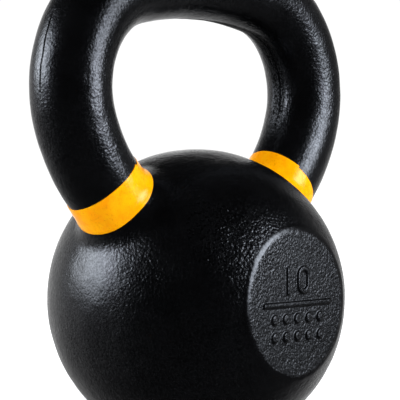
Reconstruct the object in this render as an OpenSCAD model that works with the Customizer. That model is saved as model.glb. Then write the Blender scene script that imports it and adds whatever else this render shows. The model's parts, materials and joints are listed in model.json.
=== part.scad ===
// Kettlebell: one solid grey-iron casting with a coloured band round the root of each horn.
// Origin at the centre of the flat base. X runs along the grip, -Y is the marked face, +Z is up.
// All sizes are in millimetres.

/* [Ball] */
// Diameter of the ball
ball_d = 130; // [126:1:132]
// Height of the ball's centre above the flat base
ball_centre_h = 55; // [53:0.5:57]
// Distance from the ball's centre to each round flat face
face_offset = 56.9; // [56:0.1:58.5]
// Radius of the soft edge round each flat face
face_edge_r = 4; // [3:0.5:6]

/* [Handle] */
// Diameter of the handle's round bar
bar_d = 34.2; // [30:0.2:35]
// Lean of each horn from the vertical where it leaves the ball
horn_lean = 49; // [47:0.5:50]
// Distance from the ball's centre to the end of the horn's straight root
horn_straight_end = 69.6; // [69.2:0.1:73]
// Lean that is left where the horn's long curve runs into the shoulder
shoulder_lean = 18; // [15:1:21]
// Radius of the horn's long curve, on its centreline
horn_curve_r = 69.8; // [66:0.2:74]
// Radius of the shoulder, on its centreline
shoulder_r = 44.5; // [42:0.5:47]
// Slope of the grip where it leaves the shoulder
grip_slope = 12; // [9:1:15]
// Radius of the fillet between horn and ball
root_fillet_r = 8; // [6:0.5:9]

/* [Bands] */
// Distance from the ball's centre to the lower edge of a band
band_start = 66; // [64:0.5:67]
// Distance from the ball's centre to the upper edge of a band, along the horn
band_end = 78; // [75:0.5:80]
// Thickness of a band
band_t = 0.35; // [0.2:0.05:0.6]

/* [Marking] */
// Height by which the marks stand proud of the face
mark_h = 0.8; // [0.4:0.1:1.2]
// Width of a raised stroke
stroke_w = 2; // [1.6:0.1:2.6]
// Height of the numeral
numeral_h = 11.6; // [9:0.2:12]
// Length of the dividing bar
divider_l = 44; // [36:1:48]
// Diameter of a round pip
pip_d = 4.2; // [3:0.2:5]
// Spacing of the pips along a row, and of the two rows
pip_pitch = 7.4; // [6:0.2:8.4]

/* [Hidden] */
$fn = 128;

ball_r = ball_d / 2;
bar_r = bar_d / 2;

// How far each rounding crosses the ball's skin where it would touch it, so that they meet cleanly
edge_bite = 0.05;
fillet_bite = 0.1;

// The face's soft edge: the centre of its arc, and where the ball's skin ends inside the arc
face_edge_y = face_offset - face_edge_r;
face_flat_r = sqrt(pow(ball_r - face_edge_r + edge_bite, 2) - pow(face_edge_y, 2));
ball_end_y = face_edge_y * ball_r / (ball_r - face_edge_r);

// The fillet at the root of a horn: its arc's centre, out from the horn's axis and along it
fillet_r = bar_r + root_fillet_r;
fillet_z = sqrt(pow(ball_r + root_fillet_r - fillet_bite, 2) - pow(fillet_r, 2));
fillet_foot_r = fillet_r * ball_r / (ball_r + root_fillet_r);

// Where a horn's foot starts inside the ball
root_depth = 50;

// Height of the bead on each joint of the handle above the bar
bead_h = 0.02;

// The handle's centreline as arcs in the XZ plane, about the ball's centre.
// An arc runs from one lean to the next, and its centre lies square to the lean.
horn_centre = horn_straight_end * [sin(horn_lean), cos(horn_lean)]
    + horn_curve_r * [-cos(horn_lean), sin(horn_lean)];
shoulder_centre = horn_centre
    + (horn_curve_r - shoulder_r) * [cos(shoulder_lean), -sin(shoulder_lean)];
grip_lean = grip_slope - 90;
grip_start = shoulder_centre + shoulder_r * [cos(grip_lean), -sin(grip_lean)];
grip_r = grip_start[0] / sin(grip_slope);
grip_centre = [0, grip_start[1] - grip_r * cos(grip_slope)];

// The band's upper edge, as an angle along the horn's long curve
band_sweep = (band_end - horn_straight_end) / horn_curve_r * 180 / PI;

iron_black = [0.06, 0.06, 0.065];
band_yellow = [1, 0.72, 0.02];

// Round bar bent about a centre in the XZ plane, from one angle to another (0 = +X, 90 = +Z)
module bend(centre, r, from, to) {
    translate([centre[0], 0, centre[1]])
        rotate([90, 0, 0])
            rotate([0, 0, from])
                rotate_extrude(angle = to - from)
                    translate([r, 0])
                        children();
}

// Half outline of the ball with its two flat faces, for turning about the Y axis
module ball_outline() {
    intersection() {
        circle(ball_r);
        translate([0, -ball_end_y])
            square([ball_r, 2 * ball_end_y]);
    }
    translate([0, -face_offset])
        square([face_flat_r, 2 * face_offset]);
    for (side = [-1, 1])
        translate([face_flat_r, side * face_edge_y])
            circle(face_edge_r);
}

// Ball with a flat face front and back and a flat base
module ball() {
    difference() {
        rotate([-90, 0, 0])
            rotate_extrude()
                ball_outline();
        translate([-ball_r, -ball_r, -ball_d - ball_centre_h])
            cube(ball_d);
    }
}

// Half outline of a horn's foot: the flare out of the ball and the straight stretch above it.
// skin grows it evenly outwards, and start is its lower end along the horn.
module root_outline(start, skin) {
    translate([0, start])
        square([bar_r + skin, horn_straight_end - start]);
    difference() {
        translate([0, start])
            square([fillet_foot_r, fillet_z - start]);
        translate([fillet_r, fillet_z])
            circle(root_fillet_r - skin);
    }
}

// Foot of the right-hand horn
module horn_root(start = root_depth, skin = 0) {
    rotate([0, horn_lean, 0])
        rotate_extrude()
            root_outline(start, skin);
}

// Bead on a joint of the handle's centreline: a hair wider than the bar, so it covers the joint
module bead(centre, r, lean, skin = 0) {
    translate([centre[0] + r * cos(lean), 0, centre[1] - r * sin(lean)])
        sphere(bar_r + skin + bead_h);
}

// The right-hand horn's long curve, from the foot up to a given lean
module horn_curve(to_lean = shoulder_lean, skin = 0) {
    bend(horn_centre, horn_curve_r, -horn_lean, -to_lean)
        circle(bar_r + skin);
}

// The right-hand shoulder
module shoulder() {
    bend(shoulder_centre, shoulder_r, -shoulder_lean, -grip_lean)
        circle(bar_r);
}

// The grip, a shallow arch between the two shoulders
module grip() {
    bend(grip_centre, grip_r, 90 - grip_slope, 90 + grip_slope)
        circle(bar_r);
}

// One side of the handle. Each joint's bead is joined to the piece before it
module horn() {
    union() {
        union() {
            horn_root();
            bead(horn_centre, horn_curve_r, horn_lean);
        }
        union() {
            horn_curve();
            bead(horn_centre, horn_curve_r, shoulder_lean);
        }
        union() {
            shoulder();
            bead(shoulder_centre, shoulder_r, grip_lean);
        }
    }
}

// Numeral one: a plain upright stroke
module digit_one() {
    square([stroke_w, numeral_h], center = true);
}

// Numeral nought: a tall ring with round ends
module digit_nought(width) {
    straight = numeral_h - width;
    difference() {
        stadium(width, straight);
        stadium(width - 2 * stroke_w, straight);
    }
}

// Upright slot shape of a given width, with its round ends a given distance apart
module stadium(width, straight) {
    square([width, straight], center = true);
    for (side = [-1, 1])
        translate([0, side * straight / 2])
            circle(d = width);
}

// Outline of the marking: the weight in kilograms, a divider, and one pip for each kilogram
module marking_outline() {
    row_gap = 3;
    nought_w = 8;
    numeral_y = stroke_w / 2 + row_gap + numeral_h / 2;
    translate([-nought_w / 2 - stroke_w, numeral_y])
        digit_one();
    translate([nought_w / 2, numeral_y])
        digit_nought(nought_w);
    square([divider_l, stroke_w], center = true);
    for (column = [-2:2], row = [0, 1])
        translate([column * pip_pitch, -stroke_w / 2 - row_gap - pip_d / 2 - row * pip_pitch])
            circle(d = pip_d);
}

// Raised marking on the front face
module marking() {
    anchor = 1;
    translate([0, -face_offset + anchor, 0])
        rotate([90, 0, 0])
            linear_extrude(anchor + mark_h)
                marking_outline();
}

// The whole iron casting
module casting() {
    color(iron_black)
        translate([0, 0, ball_centre_h])
            union() {
                ball();
                horn();
                mirror([1, 0, 0])
                    horn();
                grip();
                marking();
            }
}

// Band round the right-hand horn: a thin skin over the flare, the straight stretch and the curve
module band() {
    difference() {
        union() {
            union() {
                horn_root(band_start, band_t);
                bead(horn_centre, horn_curve_r, horn_lean, band_t);
            }
            horn_curve(horn_lean - band_sweep, band_t);
        }
        union() {
            horn_root();
            bead(horn_centre, horn_curve_r, horn_lean);
        }
        horn_curve();
    }
}

// Band on the horn at +X
module right_band() {
    color(band_yellow)
        translate([0, 0, ball_centre_h])
            band();
}

// Band on the horn at -X
module left_band() {
    color(band_yellow)
        translate([0, 0, ball_centre_h])
            mirror([1, 0, 0])
                band();
}

casting();
left_band();
right_band();
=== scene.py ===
"""Kettlebell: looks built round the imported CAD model.

The iron casting is remeshed from its CAD solid and drawn onto the true surface, with the raised marking,
the mould seam and the ground flash as real relief. The bands are thin wraps that follow that surface.
Everything is in metres, in the CAD's frame: base on z = 0, grip along X, marked face towards -Y.
"""
import json
import math

import bmesh
import bpy
import numpy as np
from mathutils import Matrix, Vector


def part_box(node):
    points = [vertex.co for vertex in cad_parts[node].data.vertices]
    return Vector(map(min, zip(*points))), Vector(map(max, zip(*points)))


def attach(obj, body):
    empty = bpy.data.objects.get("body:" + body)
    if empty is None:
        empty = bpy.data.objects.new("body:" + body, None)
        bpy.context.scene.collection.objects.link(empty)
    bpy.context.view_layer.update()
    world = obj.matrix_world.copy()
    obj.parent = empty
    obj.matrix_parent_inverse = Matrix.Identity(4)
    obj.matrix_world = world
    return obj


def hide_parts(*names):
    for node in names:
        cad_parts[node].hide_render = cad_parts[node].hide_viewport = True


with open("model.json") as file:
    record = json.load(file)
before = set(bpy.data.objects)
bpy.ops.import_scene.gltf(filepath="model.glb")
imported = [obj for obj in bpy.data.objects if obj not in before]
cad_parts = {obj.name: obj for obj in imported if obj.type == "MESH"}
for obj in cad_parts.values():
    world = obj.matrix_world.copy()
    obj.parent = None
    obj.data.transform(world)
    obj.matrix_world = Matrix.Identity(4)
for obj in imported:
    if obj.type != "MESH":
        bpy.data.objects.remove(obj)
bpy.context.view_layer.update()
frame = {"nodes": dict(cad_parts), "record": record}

MM = 0.001

# Driving sizes that the frame states
grip_mount = next(mount for mount in frame["record"]["mounts"] if mount["name"] == "grip")
CAST_LO, CAST_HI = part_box("casting")
BAR_R = grip_mount["dims"]["r_mm"] * MM
FACE_Y = CAST_HI.y
MARK_H = -CAST_LO.y - FACE_Y

# Sizes of the ball and of the handle's centreline, about the ball's centre, as in the CAD
BALL_R = 65 * MM
BALL_Z = 55 * MM
FACE_EDGE_R = 4 * MM
BASE_EDGE_R = 3 * MM
HORN_LEAN = math.radians(49)
HORN_STRAIGHT_END = 69.6 * MM
HORN_CURVE_R = 69.8 * MM
SHOULDER_LEAN = math.radians(18)
SHOULDER_R = 44.5 * MM
GRIP_SLOPE = math.radians(12)
GRIP_LEAN = GRIP_SLOPE - math.pi / 2
ROOT_FILLET_R = 8 * MM

HORN_CENTRE = (
    HORN_STRAIGHT_END * np.array([math.sin(HORN_LEAN), math.cos(HORN_LEAN)])
    + HORN_CURVE_R * np.array([-math.cos(HORN_LEAN), math.sin(HORN_LEAN)])
)
SHOULDER_CENTRE = HORN_CENTRE + (HORN_CURVE_R - SHOULDER_R) * np.array(
    [math.cos(SHOULDER_LEAN), -math.sin(SHOULDER_LEAN)]
)
GRIP_START = SHOULDER_CENTRE + SHOULDER_R * np.array([math.cos(GRIP_LEAN), -math.sin(GRIP_LEAN)])
GRIP_R = GRIP_START[0] / math.sin(GRIP_SLOPE)
GRIP_CENTRE = np.array([0.0, GRIP_START[1] - GRIP_R * math.cos(GRIP_SLOPE)])


# ---------------------------------------------------------------- the casting's surface as a distance

def turned_distance(radius, along, ball_r, flat, edge_r):
    """Distance to a ball cut by a flat across its axis, with a round edge, from its radius and height."""
    inner_r, inner_flat = ball_r - edge_r, flat - edge_r
    corner = math.sqrt(inner_r**2 - inner_flat**2)
    to_ball = np.hypot(radius, along) - inner_r
    to_flat = along - inner_flat
    off_r, off_a = radius - corner, along - inner_flat
    by_edge = (off_r > 0) & (off_a * corner > off_r * inner_flat)
    return np.where(by_edge, np.hypot(off_r, off_a), np.maximum(to_ball, to_flat)) - edge_r


def ball_distance(p):
    """Distance to the ball with its two flat faces and flat base; p is about the ball's centre."""
    faces = turned_distance(np.hypot(p[:, 0], p[:, 2]), np.abs(p[:, 1]), BALL_R, FACE_Y, FACE_EDGE_R)
    base = turned_distance(np.hypot(p[:, 0], p[:, 1]), -p[:, 2], BALL_R, BALL_Z, BASE_EDGE_R)
    return np.maximum(faces, base)


def arc_distance(x, z, centre, radius, from_lean, to_lean):
    """Distance in the XZ plane to an arc of the handle's centreline that runs between two leans."""
    lean = np.arctan2(centre[1] - z, x - centre[0])
    middle = (from_lean + to_lean) / 2
    lean = middle + (lean - middle + math.pi) % (2 * math.pi) - math.pi
    lean = np.clip(lean, to_lean, from_lean)
    return np.hypot(x - centre[0] - radius * np.cos(lean), z - centre[1] + radius * np.sin(lean))


def handle_distance(p):
    """Distance to the handle's round bar; p is about the ball's centre."""
    x, z = np.abs(p[:, 0]), p[:, 2]
    along = np.clip(x * math.sin(HORN_LEAN) + z * math.cos(HORN_LEAN), 0, HORN_STRAIGHT_END)
    root = np.hypot(x - along * math.sin(HORN_LEAN), z - along * math.cos(HORN_LEAN))
    horn = arc_distance(x, z, HORN_CENTRE, HORN_CURVE_R, HORN_LEAN, SHOULDER_LEAN)
    shoulder = arc_distance(x, z, SHOULDER_CENTRE, SHOULDER_R, SHOULDER_LEAN, GRIP_LEAN)
    grip = arc_distance(x, z, GRIP_CENTRE, GRIP_R, GRIP_LEAN, -math.pi / 2)
    line = np.minimum(np.minimum(root, horn), np.minimum(shoulder, grip))
    return np.hypot(line, p[:, 1]) - BAR_R


def casting_distance(p):
    """Distance to the whole casting, with a round fillet where the horns leave the ball."""
    ball, bar = ball_distance(p), handle_distance(p)
    near = np.hypot(np.maximum(ROOT_FILLET_R - ball, 0), np.maximum(ROOT_FILLET_R - bar, 0))
    return np.maximum(ROOT_FILLET_R, np.minimum(ball, bar)) - near


def surface_normal(p, step=0.02 * MM):
    """Outward normal of the casting's distance field."""
    slope = np.empty_like(p)
    for axis in range(3):
        shift = np.zeros(3)
        shift[axis] = step
        slope[:, axis] = casting_distance(p + shift) - casting_distance(p - shift)
    return slope / np.linalg.norm(slope, axis=1)[:, None]


def onto_surface(p, rounds=4):
    """Moves points along the field's slope until they lie on the casting's true surface."""
    for _ in range(rounds):
        p = p - surface_normal(p) * casting_distance(p)[:, None]
    return p


def waves(p, size, seed, count=24):
    """Smooth random field of about -1 to 1 whose bumps are about size across."""
    rng = np.random.default_rng(seed)
    way = rng.normal(size=(count, 3))
    way /= np.linalg.norm(way, axis=1)[:, None]
    pitch = 2 * math.pi / (size * rng.uniform(0.7, 1.5, count))
    phase = rng.uniform(0, 2 * math.pi, count)
    total = np.zeros(len(p))
    for k in range(count):
        total += np.sin(p @ way[k] * pitch[k] + phase[k])
    return total / math.sqrt(count)


def smooth_step(low, high, value):
    """0 below low, 1 above high, and smooth between."""
    t = np.clip((value - low) / (high - low), 0, 1)
    return t * t * (3 - 2 * t)


# ---------------------------------------------------------------- the raised marking

# Sizes of the marks, as in the CAD, and the width of their sloping sides
STROKE_W = 2 * MM
NUMERAL_H = 11.6 * MM
NOUGHT_W = 8 * MM
ROW_GAP = 3 * MM
DIVIDER_L = 44 * MM
PIP_D = 4.2 * MM
PIP_PITCH = 7.4 * MM
MARK_DRAFT = 0.55 * MM


def box_distance(u, v, centre_u, centre_v, width, height, corner=0.3 * MM):
    """Signed distance to an upright rectangle with slightly round corners."""
    du = np.abs(u - centre_u) - width / 2 + corner
    dv = np.abs(v - centre_v) - height / 2 + corner
    outside = np.hypot(np.maximum(du, 0), np.maximum(dv, 0))
    return outside + np.minimum(np.maximum(du, dv), 0) - corner


def mark_distance(u, v):
    """Signed distance to the marking's outline on the face: the number ten, a divider and ten pips."""
    numeral_v = STROKE_W / 2 + ROW_GAP + NUMERAL_H / 2
    one = box_distance(u, v, -NOUGHT_W / 2 - STROKE_W, numeral_v, STROKE_W, NUMERAL_H)
    spine = np.clip(v - numeral_v, (NOUGHT_W - NUMERAL_H) / 2, (NUMERAL_H - NOUGHT_W) / 2)
    from_spine = np.hypot(u - NOUGHT_W / 2, v - numeral_v - spine)
    nought = np.abs(from_spine - (NOUGHT_W - STROKE_W) / 2) - STROKE_W / 2
    divider = box_distance(u, v, 0, 0, DIVIDER_L, STROKE_W)
    marks = np.minimum(np.minimum(one, nought), divider)
    for row in range(2):
        pip_v = -STROKE_W / 2 - ROW_GAP - PIP_D / 2 - row * PIP_PITCH
        for column in range(-2, 3):
            pip = np.hypot(u - column * PIP_PITCH, v - pip_v) - PIP_D / 2
            marks = np.minimum(marks, pip)
    return marks


def mark_height(u, v):
    """How far the marking stands off the face, with soft sloping sides."""
    t = np.clip(0.5 - mark_distance(u, v) / MARK_DRAFT, 0, 1)
    return MARK_H * t * t * (3 - 2 * t)


# ---------------------------------------------------------------- the casting's mesh

# The casting's even faces, and the finer grid that carries the marking: its cells, half its width, half
# its height, and the strip round it that joins the two
VOXEL = 1.25 * MM
PATCH_CELL = 0.35 * MM
PATCH_HALF_U = 22.6 * MM
PATCH_HALF_V = 16.1 * MM
PATCH_MARGIN = 1.3 * MM
# Points this close together count as one, and points this close to the front face lie on it
SAME_POINT = 0.001 * MM
# Where planes cut the mesh beside the mould's parting plane, so that the seam can be narrow
SEAM_LEVELS = [level * MM for level in (-0.9, -0.6, -0.4, -0.2, 0.0, 0.2, 0.4, 0.6, 0.9)]

# The way out of the ring that the handle makes, as shares of sideways and up
RING_OUT = (0.8, 0.6)
# The seam's groove outside the horns: its half width, how far it strays, how deep it is, and the heights
# above the ball's centre between which it fades in and fades out
SEAM_HALF_W = 0.27 * MM
SEAM_STRAY = 0.15 * MM
SEAM_DEPTH = 0.30 * MM
SEAM_FADE_IN = (82 * MM, 93 * MM)
SEAM_FADE_OUT = (116 * MM, 123 * MM)
# The ground flash inside the handle's window: where its front and back edges fade across the bar, its
# depth, the depth of its file cuts, and the depth of the groove left in it
GROUND_FRONT = (-2.6 * MM, -2.0 * MM)
GROUND_BACK = (3.8 * MM, 5.4 * MM)
GROUND_DEPTH = 0.16 * MM
CUT_DEPTH = 0.16 * MM
GROUND_GROOVE_DEPTH = 0.22 * MM

# Names of the numbers that the casting's mesh carries for its material
GROOVE_MARK = "seam_groove"
GROUND_MARK = "ground_flash"
OUTLINE_MARK = "marking_outline"


def add_object(name, data):
    """A new object in the scene."""
    item = bpy.data.objects.new(name, data)
    bpy.context.scene.collection.objects.link(item)
    return item


def remeshed_copy(source, voxel):
    """A new mesh of even small faces round a CAD node's solid."""
    mesh = source.data.copy()
    bm = bmesh.new()
    bm.from_mesh(mesh)
    bmesh.ops.remove_doubles(bm, verts=bm.verts, dist=SAME_POINT)
    bm.to_mesh(mesh)
    bm.free()
    maker = add_object("maker", mesh)
    remesh = maker.modifiers.new("even", "REMESH")
    remesh.mode = "VOXEL"
    remesh.voxel_size = voxel
    evaluated = maker.evaluated_get(bpy.context.evaluated_depsgraph_get())
    result = bpy.data.meshes.new_from_object(evaluated)
    bpy.data.objects.remove(maker)
    return result


def coordinates(bm):
    """All of a bmesh's points as an array, about the ball's centre."""
    return np.array([v.co for v in bm.verts]) - (0, 0, BALL_Z)


def set_coordinates(bm, points):
    """Writes points that are about the ball's centre back to a bmesh."""
    for v, p in zip(bm.verts, points):
        v.co = (p[0], p[1], p[2] + BALL_Z)


def cut_marking_patch(bm):
    """Puts a fine even grid into the front face where the marking stands."""
    cut = [
        v for v in bm.verts
        if v.co.y < -FACE_Y + 0.3 * MM
        and abs(v.co.x) < PATCH_HALF_U + PATCH_MARGIN
        and abs(v.co.z - BALL_Z) < PATCH_HALF_V + PATCH_MARGIN
    ]
    bmesh.ops.delete(bm, geom=cut, context="VERTS")
    rim = {v for e in bm.edges if e.is_boundary for v in e.verts}
    columns = round(2 * PATCH_HALF_U / PATCH_CELL)
    rows = round(2 * PATCH_HALF_V / PATCH_CELL)
    grid = [
        [
            bm.verts.new((
                (i - columns / 2) * PATCH_CELL,
                -FACE_Y,
                BALL_Z + (j - rows / 2) * PATCH_CELL,
            ))
            for j in range(rows + 1)
        ]
        for i in range(columns + 1)
    ]
    for i in range(columns):
        for j in range(rows):
            bm.faces.new((grid[i][j], grid[i + 1][j], grid[i + 1][j + 1], grid[i][j + 1]))
    border = set(grid[0] + grid[-1] + [line[0] for line in grid] + [line[-1] for line in grid])
    stitch(bm, rim, border)


def face_turn(v):
    """A point's angle round the front face's centre."""
    return math.atan2(v.co.z - BALL_Z, v.co.x)


def stitch(bm, outer, inner):
    """Joins two rings of points round the face's centre with a strip of triangles."""
    outer, inner = sorted(outer, key=face_turn), sorted(inner, key=face_turn)
    outer_turns = [face_turn(v) for v in outer[1:]] + [face_turn(outer[0]) + 2 * math.pi, math.inf]
    inner_turns = [face_turn(v) for v in inner[1:]] + [face_turn(inner[0]) + 2 * math.pi, math.inf]
    i = j = 0
    while i < len(outer) or j < len(inner):
        a, b = outer[i % len(outer)], inner[j % len(inner)]
        if outer_turns[i] <= inner_turns[j]:
            i += 1
            bm.faces.new((a, outer[i % len(outer)], b))
        else:
            j += 1
            bm.faces.new((a, inner[j % len(inner)], b))


def add_seam_edges(bm):
    """Cuts the mesh along planes beside the mould's parting plane."""
    for level in SEAM_LEVELS:
        bmesh.ops.bisect_plane(
            bm,
            geom=bm.verts[:] + bm.edges[:] + bm.faces[:],
            dist=0.0001 * MM,
            plane_co=(0, level, 0),
            plane_no=(0, 1, 0),
        )


def seam_relief(p, normal):
    """The mould seam: a fine ragged groove outside the handle and ground flash inside its window.

    Returns the relief, and how much each point lies in the groove and on the ground flash.
    """
    y, z = p[:, 1], p[:, 2]
    outwards = normal[:, 0] * np.sign(p[:, 0]) * RING_OUT[0] + normal[:, 2] * RING_OUT[1]
    on_bar = smooth_step(0, 8 * MM, np.linalg.norm(p, axis=1) - BALL_R)
    groove = np.exp(-(((y - SEAM_STRAY * waves(p * (1, 0, 1), 7 * MM, 5)) / SEAM_HALF_W) ** 2))
    stretch = smooth_step(*SEAM_FADE_IN, z) * (1 - smooth_step(*SEAM_FADE_OUT, z))
    outer = smooth_step(0.2, 0.6, outwards) * on_bar * groove * stretch
    inner = smooth_step(0.3, 0.7, -outwards) * on_bar
    ground = inner * smooth_step(*GROUND_FRONT, y) * (1 - smooth_step(*GROUND_BACK, y))
    cuts = np.maximum(0, waves(p * (1, 0.15, 1), 2.2 * MM, 11) - 0.6) * (y > 0.3 * MM)
    sunk = SEAM_DEPTH * outer + GROUND_GROOVE_DEPTH * inner * groove
    sunk += ground * (GROUND_DEPTH + CUT_DEPTH * cuts)
    return -sunk, np.maximum(outer, inner * groove), ground


def cast_swell(p):
    """The casting's shallow unevenness: slow waves and smaller ones, which only sink below the surface."""
    return np.minimum(0, 0.06 * MM * waves(p, 22 * MM, 1) + 0.03 * MM * waves(p, 9 * MM, 2) - 0.09 * MM)


def store_mark(bm, name, share):
    """Gives each point of a mesh a number from 0 to 1, for its material to read."""
    layer = bm.verts.layers.float.new(name)
    for v, value in zip(bm.verts, share):
        v[layer] = value


def smooth_faces(bm):
    """Turns all faces outwards and shades them smooth."""
    bmesh.ops.recalc_face_normals(bm, faces=bm.faces)
    for face in bm.faces:
        face.smooth = True


def shape_casting(bm):
    """Draws a rough mesh of the casting onto its true surface and adds the marking and the seam."""
    set_coordinates(bm, onto_surface(coordinates(bm)))
    cut_marking_patch(bm)
    add_seam_edges(bm)
    bmesh.ops.dissolve_degenerate(bm, edges=bm.edges, dist=0.05 * MM)
    p = coordinates(bm)
    on_face = p[:, 1] < -FACE_Y + SAME_POINT
    p = np.where(on_face[:, None], p, onto_surface(p, 2))
    normal = surface_normal(p)
    lift = np.where(on_face, mark_height(p[:, 0], p[:, 2]), cast_swell(p))
    relief, groove, ground = seam_relief(p, normal)
    set_coordinates(bm, p + normal * (relief + lift)[:, None])
    outline = on_face * np.exp(-((mark_distance(p[:, 0], p[:, 2]) / (0.7 * MM)) ** 2))
    store_mark(bm, GROOVE_MARK, groove)
    store_mark(bm, GROUND_MARK, ground)
    store_mark(bm, OUTLINE_MARK, outline)
    smooth_faces(bm)


def build_casting(material):
    """The one-piece iron casting."""
    mesh = remeshed_copy(frame["nodes"]["casting"], VOXEL)
    bm = bmesh.new()
    bm.from_mesh(mesh)
    shape_casting(bm)
    bm.to_mesh(mesh)
    bm.free()
    mesh.name = "iron_casting"
    mesh.materials.clear()
    mesh.materials.append(material)
    casting = add_object("iron_casting", mesh)
    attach(casting, "root")
    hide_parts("casting")


# ---------------------------------------------------------------- the bands

# Where the wrap's edges lie along the horn, its thickness, and how far its inside sinks into the casting
BAND_START = 65.9 * MM
BAND_END = 77.5 * MM
BAND_T = 0.35 * MM
BAND_SUNK = 0.15 * MM
# The number of points round the horn and across the wrap, and the angle by which its ends overlap
BAND_ROUND = 168
BAND_ALONG = 22
LAP = math.radians(16)
# The middle of the side on which the wrap is pulled straight across the flare, as an angle round the
# horn from +Y, the rear, towards the outside
TAUT_TURN = math.radians(60)
# Radius of the loop on which the wrap's edges wave, and the size of those waves
EDGE_LOOP_R = 17 * MM
EDGE_WAVE = 16 * MM
# Two faces that meet at more than this angle have a sharp edge
SHARP_ANGLE = math.radians(50)


def horn_frame(along):
    """Centre and direction of the right-hand horn's centreline at a length along it, in the XZ plane."""
    if along <= HORN_STRAIGHT_END:
        way = np.array([math.sin(HORN_LEAN), math.cos(HORN_LEAN)])
        return along * way, way
    lean = HORN_LEAN - (along - HORN_STRAIGHT_END) / HORN_CURVE_R
    centre = HORN_CENTRE + HORN_CURVE_R * np.array([math.cos(lean), -math.sin(lean)])
    return centre, np.array([math.sin(lean), math.cos(lean)])


def band_point(along, turn):
    """A point just off the bar, at a length along the horn and an angle round it (0 = +Y)."""
    centre, way = horn_frame(along)
    side = np.array([way[1], -way[0]])
    radius = BAR_R + 1 * MM
    off = radius * math.sin(turn)
    return centre[0] + side[0] * off, radius * math.cos(turn), centre[1] + side[1] * off


def wrap_edges(turns, tilt, tilt_turn, lap_step, seed):
    """Where the wrap's lower and upper edges lie along the horn at each angle round it.

    The upper edge tilts towards an angle, and climbs by lap_step from the wrap's end back to its start.
    """
    loop = np.c_[np.cos(turns), np.sin(turns), 0 * turns] * EDGE_LOOP_R
    askew = tilt * np.cos(turns - tilt_turn) + lap_step * (0.5 - (turns - turns[0]) / (2 * math.pi))
    lower = BAND_START + 0.25 * MM * waves(loop, EDGE_WAVE, seed)
    upper = BAND_END + askew + 0.12 * MM * waves(loop, EDGE_WAVE, seed + 1)
    return lower, upper


def wrap_height(base, normal, turns, steps, seed):
    """How far the wrap's outside stands off the casting: thinner at its edges, thicker where it laps.

    Where the wrap is taut it also crosses the hollow of the flare in a straight line.
    """
    round_share = np.repeat((turns - turns[0]) / (turns[-1] - turns[0]), BAND_ALONG)
    lap_share = LAP / (2 * math.pi)
    lapped = smooth_step(1 - 1.9 * lap_share, 1 - 0.9 * lap_share, round_share)
    along_share = np.tile(steps, BAND_ROUND)
    from_edge = np.minimum(along_share, 1 - along_share) * (BAND_END - BAND_START)
    crown = np.sqrt(np.clip(from_edge / BAND_T, 0, 1))
    height = BAND_T * (0.55 + 0.25 * crown + 0.2 * lapped) + 0.03 * MM * waves(base, 4 * MM, seed)
    rows = base.reshape(BAND_ROUND, BAND_ALONG, 3)
    chords = rows[:, :1] + (rows[:, -1:] - rows[:, :1]) * steps[None, :, None]
    hollow = np.sum((chords - rows) * normal.reshape(rows.shape), axis=2).clip(0).ravel()
    tension = smooth_step(-0.2, 0.5, np.cos(turns - TAUT_TURN))
    return height + 0.9 * hollow * np.repeat(tension, BAND_ALONG)


def wrap_mesh(name, outer, inner):
    """A closed shell between two sheets of points, each BAND_ROUND long and BAND_ALONG wide."""
    bm = bmesh.new()
    sheets = [[bm.verts.new(tuple(point)) for point in sheet] for sheet in (outer, inner)]
    end = BAND_ROUND - 1
    top = BAND_ALONG - 1

    def at(sheet, i, j):
        return sheets[sheet][i * BAND_ALONG + j]

    for i in range(end):
        for j in range(top):
            bm.faces.new((at(0, i, j), at(0, i + 1, j), at(0, i + 1, j + 1), at(0, i, j + 1)))
            bm.faces.new((at(1, i, j), at(1, i, j + 1), at(1, i + 1, j + 1), at(1, i + 1, j)))
        bm.faces.new((at(0, i, 0), at(1, i, 0), at(1, i + 1, 0), at(0, i + 1, 0)))
        bm.faces.new((at(0, i, top), at(0, i + 1, top), at(1, i + 1, top), at(1, i, top)))
    for j in range(top):
        bm.faces.new((at(0, 0, j), at(0, 0, j + 1), at(1, 0, j + 1), at(1, 0, j)))
        bm.faces.new((at(0, end, j), at(1, end, j), at(1, end, j + 1), at(0, end, j + 1)))
    smooth_faces(bm)
    for line in bm.edges:
        line.smooth = line.calc_face_angle(0) < SHARP_ANGLE
    mesh = bpy.data.meshes.new(name)
    bm.to_mesh(mesh)
    bm.free()
    return mesh


def build_band(name, node, side, tilt, tilt_turn, lap_turn, lap_step, seed, material):
    """A thin wrap round the horn on one side, whose end laps over its start.

    It is shaped on the right-hand horn and mirrored for the left. Its angles are in degrees.
    """
    lap_turn = math.radians(lap_turn)
    turns = np.linspace(lap_turn, lap_turn + 2 * math.pi + LAP, BAND_ROUND)
    steps = np.linspace(0, 1, BAND_ALONG)
    lower, upper = wrap_edges(turns, tilt, math.radians(tilt_turn), lap_step, seed)
    points = np.array([
        band_point(low + step * (high - low), turn)
        for turn, low, high in zip(turns, lower, upper)
        for step in steps
    ])
    base = onto_surface(points, 5)
    normal = surface_normal(base)
    height = wrap_height(base, normal, turns, steps, seed + 2)
    flip = np.array([side, 1, 1])
    raised = (0, 0, BALL_Z)
    outer = (base + normal * height[:, None]) * flip + raised
    inner = (base - normal * BAND_SUNK) * flip + raised
    mesh = wrap_mesh(name, outer, inner)
    mesh.materials.append(material)
    band = add_object(name, mesh)
    band.visible_glossy = False
    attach(band, "root")
    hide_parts(node)


# ---------------------------------------------------------------- materials

def bare_material(name):
    """A node material with nothing in it but its output; returns the material, its tree and the output."""
    material = bpy.data.materials.new(name)
    material.use_nodes = True
    tree = material.node_tree
    tree.nodes.clear()
    return material, tree, tree.nodes.new("ShaderNodeOutputMaterial")


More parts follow.
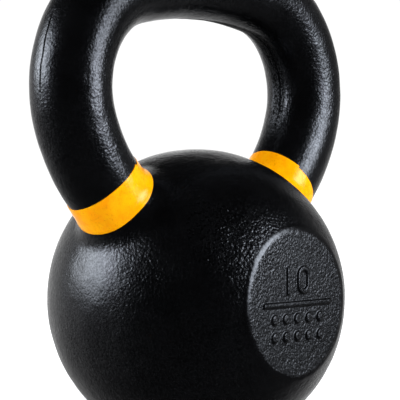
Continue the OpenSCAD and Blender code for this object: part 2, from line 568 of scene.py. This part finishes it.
def new_material(name):
    """A material with one Principled shader; returns the material, its tree and the shader."""
    material, tree, output = bare_material(name)
    shader = tree.nodes.new("ShaderNodeBsdfPrincipled")
    tree.links.new(shader.outputs["BSDF"], output.inputs["Surface"])
    return material, tree, shader


def noise(tree, vector, size, detail=1.0, rough=0.5):
    """Noise whose bumps are about size across."""
    node = tree.nodes.new("ShaderNodeTexNoise")
    node.inputs["Scale"].default_value = 1 / size
    node.inputs["Detail"].default_value = detail
    node.inputs["Roughness"].default_value = rough
    tree.links.new(vector, node.inputs["Vector"])
    return node.outputs["Fac"]


def spread(tree, value, low, high, to_low, to_high, manner="LINEAR"):
    """Maps a range of a value to another range, clamped."""
    node = tree.nodes.new("ShaderNodeMapRange")
    node.interpolation_type = manner
    for name, number in (("From Min", low), ("From Max", high), ("To Min", to_low), ("To Max", to_high)):
        node.inputs[name].default_value = number
    tree.links.new(value, node.inputs["Value"])
    return node.outputs["Result"]


def maths(tree, operation, a, b):
    """A maths node on two sockets or numbers."""
    node = tree.nodes.new("ShaderNodeMath")
    node.operation = operation
    for socket, value in zip(node.inputs, (a, b)):
        if isinstance(value, (int, float)):
            socket.default_value = value
        else:
            tree.links.new(value, socket)
    return node.outputs["Value"]


def product(tree, *values):
    """The product of two or more sockets or numbers."""
    result = values[0]
    for value in values[1:]:
        result = maths(tree, "MULTIPLY", result, value)
    return result


def total(tree, *values):
    """The sum of two or more sockets or numbers."""
    result = values[0]
    for value in values[1:]:
        result = maths(tree, "ADD", result, value)
    return result


def weighted(tree, start, *terms):
    """A starting value plus weighted terms, each a pair of a socket and its weight."""
    return total(tree, start, *[product(tree, value, weight) for value, weight in terms])


def bump(tree, height, distance, under=None):
    """A bump of a height field, on top of another bump."""
    node = tree.nodes.new("ShaderNodeBump")
    node.inputs["Distance"].default_value = distance
    node.inputs["Strength"].default_value = 1.0
    tree.links.new(height, node.inputs["Height"])
    if under is not None:
        tree.links.new(under, node.inputs["Normal"])
    return node.outputs["Normal"]


def object_place(tree):
    """The point's place on the object, as a vector socket."""
    return tree.nodes.new("ShaderNodeTexCoord").outputs["Object"]


def mesh_mark(tree, name):
    """A number from 0 to 1 that the casting's mesh carries at each point."""
    node = tree.nodes.new("ShaderNodeAttribute")
    node.attribute_name = name
    return node.outputs["Fac"]


def colour_mix(tree, share, first, second):
    """Mixes two colours by a share. Each is a socket, or a tuple of red, green and blue."""
    node = tree.nodes.new("ShaderNodeMix")
    node.data_type = "RGBA"
    for socket, colour in ((node.inputs["A"], first), (node.inputs["B"], second)):
        if isinstance(colour, tuple):
            socket.default_value = (*colour, 1)
        else:
            tree.links.new(colour, socket)
    tree.links.new(share, node.inputs["Factor"])
    return node.outputs["Result"]


def cells(tree, vector, size, smoothness=0.6):
    """Distance from the nearest centre of a cell pattern whose cells are about size across."""
    node = tree.nodes.new("ShaderNodeTexVoronoi")
    node.feature = "SMOOTH_F1"
    node.inputs["Scale"].default_value = 1 / size
    node.inputs["Smoothness"].default_value = smoothness
    tree.links.new(vector, node.inputs["Vector"])
    return node.outputs["Distance"]


def warped(tree, vector, size, amount):
    """The place moved about by noise, so that patterns on it lose their regular cells."""
    node = tree.nodes.new("ShaderNodeTexNoise")
    node.inputs["Scale"].default_value = 1 / size
    node.inputs["Detail"].default_value = 1.0
    tree.links.new(vector, node.inputs["Vector"])
    push = tree.nodes.new("ShaderNodeVectorMath")
    push.operation = "MULTIPLY_ADD"
    push.inputs[1].default_value = (amount, amount, amount)
    tree.links.new(node.outputs["Color"], push.inputs[0])
    tree.links.new(vector, push.inputs[2])
    return push.outputs["Vector"]


# The coat's colour where its blotches are darkest and palest, its roughness there, its specular level,
# how much that glints with the grain, and the tint of its reflections
COAT_DARK = (0.0004, 0.0004, 0.0005)
COAT_PALE = (0.0012, 0.0012, 0.0014)
COAT_ROUGHNESS = (0.21, 0.26)
COAT_POLISH = 0.5
COAT_GLINT = 0.62
COAT_TINT = (0.88, 0.91, 1.0)

# Areas where the coat differs: centre and reach in mm, change of the grain's depth, change of the polish
COAT_AREAS = (
    ((-65, 3, 66), 32, -0.55, 0.0),
    ((-52, -30, 70), 26, 0.35, 0.0),
    ((-73, -16, 178), 36, -0.4, -0.55),
    ((-90, 0, 160), 40, -0.4, 0.2),
    ((-84, -8, 182), 26, 0.3, 0.5),
    ((62, -17, 116), 34, -0.45, 0.1),
    ((-30, -52, 88), 36, 1.3, 0.1),
)

# The wrap's two yellows, the colour of its flecks and the tint of its reflections
WRAP_DEEP = (1.0, 0.33, 0.0)
WRAP_PALE = (1.0, 0.42, 0.0)
WRAP_RUSTY = (0.62, 0.14, 0.0)
WRAP_TINT = (1.0, 0.95, 0.65)


def area_share(tree, place, centre, reach):
    """1 at an area's centre, fading smoothly to 0 at its reach; both in mm, in the object's frame."""
    away = tree.nodes.new("ShaderNodeVectorMath")
    away.operation = "DISTANCE"
    away.inputs[1].default_value = [value * MM for value in centre]
    tree.links.new(place, away.inputs[0])
    return spread(tree, away.outputs["Value"], 0.0, reach * MM, 1.0, 0.0, "SMOOTHSTEP")


def face_shares(tree, place):
    """How much a point lies on the marked face, and how much on the face with its soft edge."""
    split = tree.nodes.new("ShaderNodeSeparateXYZ")
    tree.links.new(place, split.inputs["Vector"])
    depth = split.outputs["Y"]
    face = spread(tree, depth, -FACE_Y + 0.10 * MM, -FACE_Y + 0.02 * MM, 0.0, 1.0)
    edge = spread(tree, depth, -FACE_Y + 1.6 * MM, -FACE_Y + 0.7 * MM, 0.0, 1.0)
    return face, edge


def grain_and_polish(tree, place, face, edge):
    """How deep the coat's grain is and how polished the coat is, with the changes in COAT_AREAS.

    The grain all but leaves the face's soft edge and is full on the face, apart from the marks' outlines.
    """
    grain = weighted(tree, 1.0, (edge, -0.8), (face, 0.95), (mesh_mark(tree, OUTLINE_MARK), -0.8))
    polish = COAT_POLISH
    for centre, reach, grain_change, polish_change in COAT_AREAS:
        near = area_share(tree, place, centre, reach)
        grain = product(tree, grain, weighted(tree, 1.0, (near, grain_change)))
        polish = product(tree, weighted(tree, 1.0, (near, polish_change)), polish)
    patch = noise(tree, place, 26 * MM)
    return product(tree, grain, spread(tree, patch, 0.35, 0.62, 0.9, 1.1)), polish


def coat_shine(tree, place, grain, polish, groove, ground):
    """The coat's specular level: it glints with the grain, and is low in the seam and on ground iron."""
    glint = spread(tree, noise(tree, place, 0.8 * MM), 0.32, 0.68, -1.0, 1.0)
    glint = product(tree, glint, grain, COAT_GLINT)
    shine = product(tree, total(tree, glint, 1.0), polish)
    shine = weighted(tree, shine, (groove, -0.40), (ground, -0.41))
    return maths(tree, "MAXIMUM", shine, 0.02)


def coat_relief(tree, place, grain, face):
    """The coat's bumps: a slow ripple, pebbles, a fine grain, and the finest specks on the face only."""
    bent = warped(tree, place, 1.2 * MM, 0.8 * MM)
    pebble = cells(tree, bent, 1.25 * MM)
    fine = noise(tree, bent, 0.9 * MM)
    speck = noise(tree, place, 0.65 * MM)
    rippled = bump(tree, noise(tree, place, 3.5 * MM), 0.12 * MM)
    pebbled = bump(tree, product(tree, pebble, grain), -0.10 * MM, rippled)
    grained = bump(tree, product(tree, fine, grain), 0.11 * MM, pebbled)
    return bump(tree, product(tree, speck, product(tree, face, grain)), 0.10 * MM, grained)


def powder_coat():
    """Black powder coat over cast iron: pebbled, duller on the marked face and smoother on its edge."""
    material, tree, shader = new_material("black_powder_coat")
    place = object_place(tree)
    face, edge = face_shares(tree, place)
    groove = mesh_mark(tree, GROOVE_MARK)
    ground = mesh_mark(tree, GROUND_MARK)
    blotch = noise(tree, place, 14 * MM, 3.0, 0.6)
    colour = colour_mix(tree, spread(tree, blotch, 0.3, 0.7, 0.0, 1.0), COAT_DARK, COAT_PALE)
    dull = spread(tree, blotch, 0.3, 0.7, *COAT_ROUGHNESS)
    dull = weighted(tree, dull, (edge, -0.07), (face, 0.12), (ground, 0.26))
    grain, polish = grain_and_polish(tree, place, face, edge)
    shine = coat_shine(tree, place, grain, polish, groove, ground)
    tree.links.new(colour, shader.inputs["Base Color"])
    tree.links.new(dull, shader.inputs["Roughness"])
    tree.links.new(shine, shader.inputs["Specular IOR Level"])
    tree.links.new(coat_relief(tree, place, grain, face), shader.inputs["Normal"])
    shader.inputs["IOR"].default_value = 1.5
    shader.inputs["Specular Tint"].default_value = (*COAT_TINT, 1)
    return material


def band_wrap():
    """Orange-yellow wrap with a faint fibrous mottle and small rusty flecks."""
    material, tree, shader = new_material("yellow_wrap")
    place = object_place(tree)
    mottle = noise(tree, place, 5 * MM, 4.0, 0.65)
    fibre = noise(tree, place, 0.9 * MM, 3.0, 0.6)
    fleck = noise(tree, place, 1.3 * MM, 4.0, 0.7)
    clear = colour_mix(tree, spread(tree, mottle, 0.35, 0.65, 0.0, 1.0), WRAP_DEEP, WRAP_PALE)
    flecked = colour_mix(tree, spread(tree, fleck, 0.56, 0.70, 0.0, 0.6), clear, WRAP_RUSTY)
    tree.links.new(flecked, shader.inputs["Base Color"])
    tree.links.new(spread(tree, fibre, 0.3, 0.7, 0.09, 0.16), shader.inputs["Roughness"])
    tree.links.new(bump(tree, fibre, 0.05 * MM, bump(tree, mottle, 0.12 * MM)), shader.inputs["Normal"])
    shader.inputs["Specular Tint"].default_value = (*WRAP_TINT, 1)
    shader.inputs["Specular IOR Level"].default_value = 0.35
    return material


# ---------------------------------------------------------------- floor, lights and camera

# The camera: its bearing round the ball, how far off it stands, its small aiming offsets and its lens
CAMERA_AZIMUTH = math.radians(-48)
CAMERA_ELEVATION = math.radians(1.09)
CAMERA_ROLL = math.radians(-0.29)
CAMERA_DISTANCE = 852.6 * MM
CAMERA_ASIDE = 1.94 * MM
CAMERA_RAISE = 42.72 * MM
CAMERA_LENS = 175.72
CAMERA_SENSOR = 36
BALL_CENTRE = Vector((0, 0, BALL_Z))

# The lights: name, bearing from the camera's and elevation in degrees, distance, width and height in
# metres, radiance, and whether reflections show it
LIGHTS = (
    ("left_softbox", -85, 20, 1.1, 1.25, 0.90, 8.4, True),
    ("right_softbox", 74, 15, 1.1, 0.92, 0.96, 10.2, True),
    ("right_fill", 80, 20, 1.6, 0.9, 0.9, 15, False),
    ("left_fill", -125, 15, 1.6, 0.9, 0.9, 8, False),
)
SOFTBOX_TINT = (0.90, 0.95, 1.0)
# The width of the strip in which a light fades towards its edge, as a share of its width
LIGHT_FADE = 0.42

# Brightness of the surround as the camera sees it, and of the light that it sheds on matt surfaces
WHITE = 1.05
SOFT_FILL = 0.55
# What reflections see round the horizon: (bearing in degrees from the camera's, brightness)
STUDIO_ROUND = (
    (-180, 1.25), (-165, 0.88), (-150, 0.58), (-120, 0.48), (-105, 0.32), (-50, 0.02), (-20, 0.005),
    (20, 0.005), (60, 0.03), (100, 0.11), (143, 0.14), (153, 0.26), (165, 0.64), (180, 1.25),
)
# How that fades below and above the horizon: (sine of the elevation, share)
STUDIO_RISE = (
    (-1, 0.03), (-0.7, 0.12), (-0.5, 0.28), (-0.3, 0.42), (-0.15, 0.85), (0, 1), (0.15, 1), (0.25, 0.93),
    (0.35, 0.75), (0.43, 0.42), (0.51, 0.15), (0.6, 0.03), (0.7, 0.01), (1, 0.005),
)
# Light from the floor beside and behind: its share by bearing, and its brightness by sine of the elevation
BOUNCE_ROUND = (
    (-180, 0.05), (-155, 0.12), (-125, 0.32), (-90, 0.32), (-50, 0),
    (115, 0), (145, 1), (165, 1), (180, 0.05),
)
BOUNCE_RISE = ((-1, 0), (-0.7, 0.04), (-0.55, 0.2), (-0.4, 0.35), (-0.15, 0.35), (0.05, 0), (1, 0))
# The floor's even glow below the horizon: (sine of the elevation, brightness)
FLOOR_GLOW = ((-1, 0.045), (-0.75, 0.045), (-0.5, 0.04), (-0.3, 0.02), (-0.1, 0), (1, 0))
# The least brightness that reflections see
STUDIO_DARK = 0.003

# The floor's half width in metres and its shade, and a painted glow that only the camera sees added to it:
# a little near the object, where the shadow falls, and more from a distance on, so that it meets the white
# surround
FLOOR_HALF = 6.0
FLOOR_SHADE = (0.92, 0.92, 0.92)
FLOOR_PAINTED_GLOW = (0.25, 0.65)
FLOOR_PAINTED_GLOW_AT = (0.08, 0.40)


def bearing(azimuth, elevation):
    """Unit vector from the object towards a bearing. Azimuth 0 is -Y, and it grows towards +X."""
    return Vector((
        math.sin(azimuth) * math.cos(elevation),
        -math.cos(azimuth) * math.cos(elevation),
        math.sin(elevation),
    ))


def add_camera():
    """The camera at the photograph's viewing angle."""
    back = bearing(CAMERA_AZIMUTH, CAMERA_ELEVATION)
    right = Vector((math.cos(CAMERA_AZIMUTH), math.sin(CAMERA_AZIMUTH), 0))
    up = back.cross(right)
    spun_right = right * math.cos(CAMERA_ROLL) + up * math.sin(CAMERA_ROLL)
    spun_up = up * math.cos(CAMERA_ROLL) - right * math.sin(CAMERA_ROLL)
    data = bpy.data.cameras.new("camera")
    data.lens = CAMERA_LENS
    data.sensor_width = CAMERA_SENSOR
    data.clip_start = 10 * MM
    data.clip_end = 30
    camera = add_object("camera", data)
    turn = Matrix((spun_right, spun_up, back)).transposed().to_4x4()
    place = BALL_CENTRE + back * CAMERA_DISTANCE + right * CAMERA_ASIDE + up * CAMERA_RAISE
    camera.matrix_world = Matrix.Translation(place) @ turn
    bpy.context.scene.camera = camera


def add_softbox(name, aside, elevation, distance, width, height, radiance, in_reflections):
    """A soft light aimed at the ball, brightest in its middle; its values are as in LIGHTS."""
    back = bearing(CAMERA_AZIMUTH + math.radians(aside), math.radians(elevation))
    data = bpy.data.lights.new(name, "AREA")
    data.shape = "RECTANGLE"
    data.size = width
    data.size_y = height
    data.energy = radiance * math.pi * width * height
    data.color = SOFTBOX_TINT
    data.use_nodes = True
    tree = data.node_tree
    glow = tree.nodes["Emission"]
    geometry = tree.nodes.new("ShaderNodeNewGeometry")
    across = tree.nodes.new("ShaderNodeSeparateXYZ")
    tree.links.new(geometry.outputs["Parametric"], across.inputs["Vector"])
    fades = [fade_to_edges(tree, across.outputs[axis]) for axis in ("X", "Y")]
    tree.links.new(product(tree, *fades), glow.inputs["Strength"])
    light = add_object(name, data)
    light.location = BALL_CENTRE + back * distance
    light.rotation_mode = "QUATERNION"
    light.rotation_quaternion = back.to_track_quat("Z", "Y")
    light.visible_glossy = in_reflections


def fade_to_edges(tree, place):
    """A brightness that is 1 in the middle of a light (place 0.5) and fades to 0 at its edges (0 and 1)."""
    off_centre = maths(tree, "ABSOLUTE", maths(tree, "SUBTRACT", place, 0.5), 0)
    return spread(tree, off_centre, 0.5 - LIGHT_FADE, 0.5, 1.0, 0.0, "SMOOTHSTEP")


def graph(tree, value, points):
    """A piecewise straight graph of a value, through (value, result) points."""
    low, high = points[0][0], points[-1][0]
    node = tree.nodes.new("ShaderNodeValToRGB")
    ramp = node.color_ramp
    while len(ramp.elements) < len(points):
        ramp.elements.new(0.5)
    for element, (at, result) in zip(ramp.elements, points):
        element.position = (at - low) / (high - low)
        element.color = (result, result, result, 1)
    tree.links.new(spread(tree, value, low, high, 0.0, 1.0), node.inputs["Fac"])
    return node.outputs["Color"]


def studio_brightness(tree, direction):
    """What reflections see in a direction: a dark studio with a bright backdrop behind the object."""
    aside = dot_product(tree, direction, bearing(CAMERA_AZIMUTH + math.pi / 2, 0))
    front = dot_product(tree, direction, bearing(CAMERA_AZIMUTH, 0))
    rise = dot_product(tree, direction, (0, 0, 1))
    turn = product(tree, maths(tree, "ARCTAN2", aside, front), 180 / math.pi)
    backdrop = product(tree, graph(tree, turn, STUDIO_ROUND), graph(tree, rise, STUDIO_RISE))
    bounce = product(tree, graph(tree, turn, BOUNCE_ROUND), graph(tree, rise, BOUNCE_RISE))
    return total(tree, backdrop, graph(tree, rise, FLOOR_GLOW), bounce, STUDIO_DARK)


def add_world():
    """The white surround, in whose place reflections see the studio."""
    world = bpy.data.worlds.new("studio")
    bpy.context.scene.world = world
    world.use_nodes = True
    tree = world.node_tree
    tree.nodes.clear()
    output = tree.nodes.new("ShaderNodeOutputWorld")
    background = tree.nodes.new("ShaderNodeBackground")
    background.inputs["Color"].default_value = (1, 1, 1, 1)
    tree.links.new(background.outputs["Background"], output.inputs["Surface"])
    path = tree.nodes.new("ShaderNodeLightPath")
    studio = studio_brightness(tree, tree.nodes.new("ShaderNodeTexCoord").outputs["Generated"])
    glossy = product(tree, path.outputs["Is Glossy Ray"], maths(tree, "SUBTRACT", studio, WHITE))
    diffuse = product(tree, path.outputs["Is Diffuse Ray"], SOFT_FILL - WHITE)
    seen = total(tree, glossy, diffuse, WHITE)
    tree.links.new(seen, background.inputs["Strength"])


def dot_product(tree, vector, fixed):
    """The dot product of a vector socket with a fixed direction."""
    node = tree.nodes.new("ShaderNodeVectorMath")
    node.operation = "DOT_PRODUCT"
    node.inputs[1].default_value = fixed
    tree.links.new(vector, node.inputs[0])
    return node.outputs["Value"]


def floor_material():
    """Pale matt floor with a painted glow, a lift that only the camera sees, which grows with distance from
    the object.
    """
    material, tree, output = bare_material("floor")
    path = tree.nodes.new("ShaderNodeLightPath")
    pale = tree.nodes.new("ShaderNodeBsdfDiffuse")
    pale.inputs["Color"].default_value = (*FLOOR_SHADE, 1)
    away = tree.nodes.new("ShaderNodeVectorMath")
    away.operation = "LENGTH"
    tree.links.new(object_place(tree), away.inputs[0])
    # Painted glow on the floor, seen only by the camera and lighting nothing: weak near the object, strong
    # further away
    painted_glow_share = spread(tree, away.outputs["Value"], *FLOOR_PAINTED_GLOW_AT, *FLOOR_PAINTED_GLOW, "SMOOTHSTEP")
    lift = tree.nodes.new("ShaderNodeEmission")
    tree.links.new(product(tree, path.outputs["Is Camera Ray"], painted_glow_share), lift.inputs["Strength"])
    lit = tree.nodes.new("ShaderNodeAddShader")
    tree.links.new(pale.outputs["BSDF"], lit.inputs[0])
    tree.links.new(lift.outputs["Emission"], lit.inputs[1])
    tree.links.new(lit.outputs["Shader"], output.inputs["Surface"])
    return material


def add_floor():
    """A plain pale floor. Reflections don't show it, but see the lower half of the studio instead."""
    bm = bmesh.new()
    bmesh.ops.create_grid(bm, x_segments=8, y_segments=8, size=FLOOR_HALF)
    mesh = bpy.data.meshes.new("floor")
    bm.to_mesh(mesh)
    bm.free()
    mesh.materials.append(floor_material())
    floor = add_object("floor", mesh)
    floor.visible_glossy = False


add_camera()
add_world()
add_floor()
for light in LIGHTS:
    add_softbox(*light)
bpy.context.scene.view_settings.view_transform = "Standard"

build_casting(powder_coat())
yellow = band_wrap()
build_band(
    "left_band_wrap", "left_band", side=-1, tilt=1.9 * MM, tilt_turn=182,
    lap_turn=194, lap_step=-1.4 * MM, seed=21, material=yellow,
)
build_band(
    "right_band_wrap", "right_band", side=1, tilt=2.1 * MM, tilt_turn=280,
    lap_turn=207, lap_step=1 * MM, seed=31, material=yellow,
)
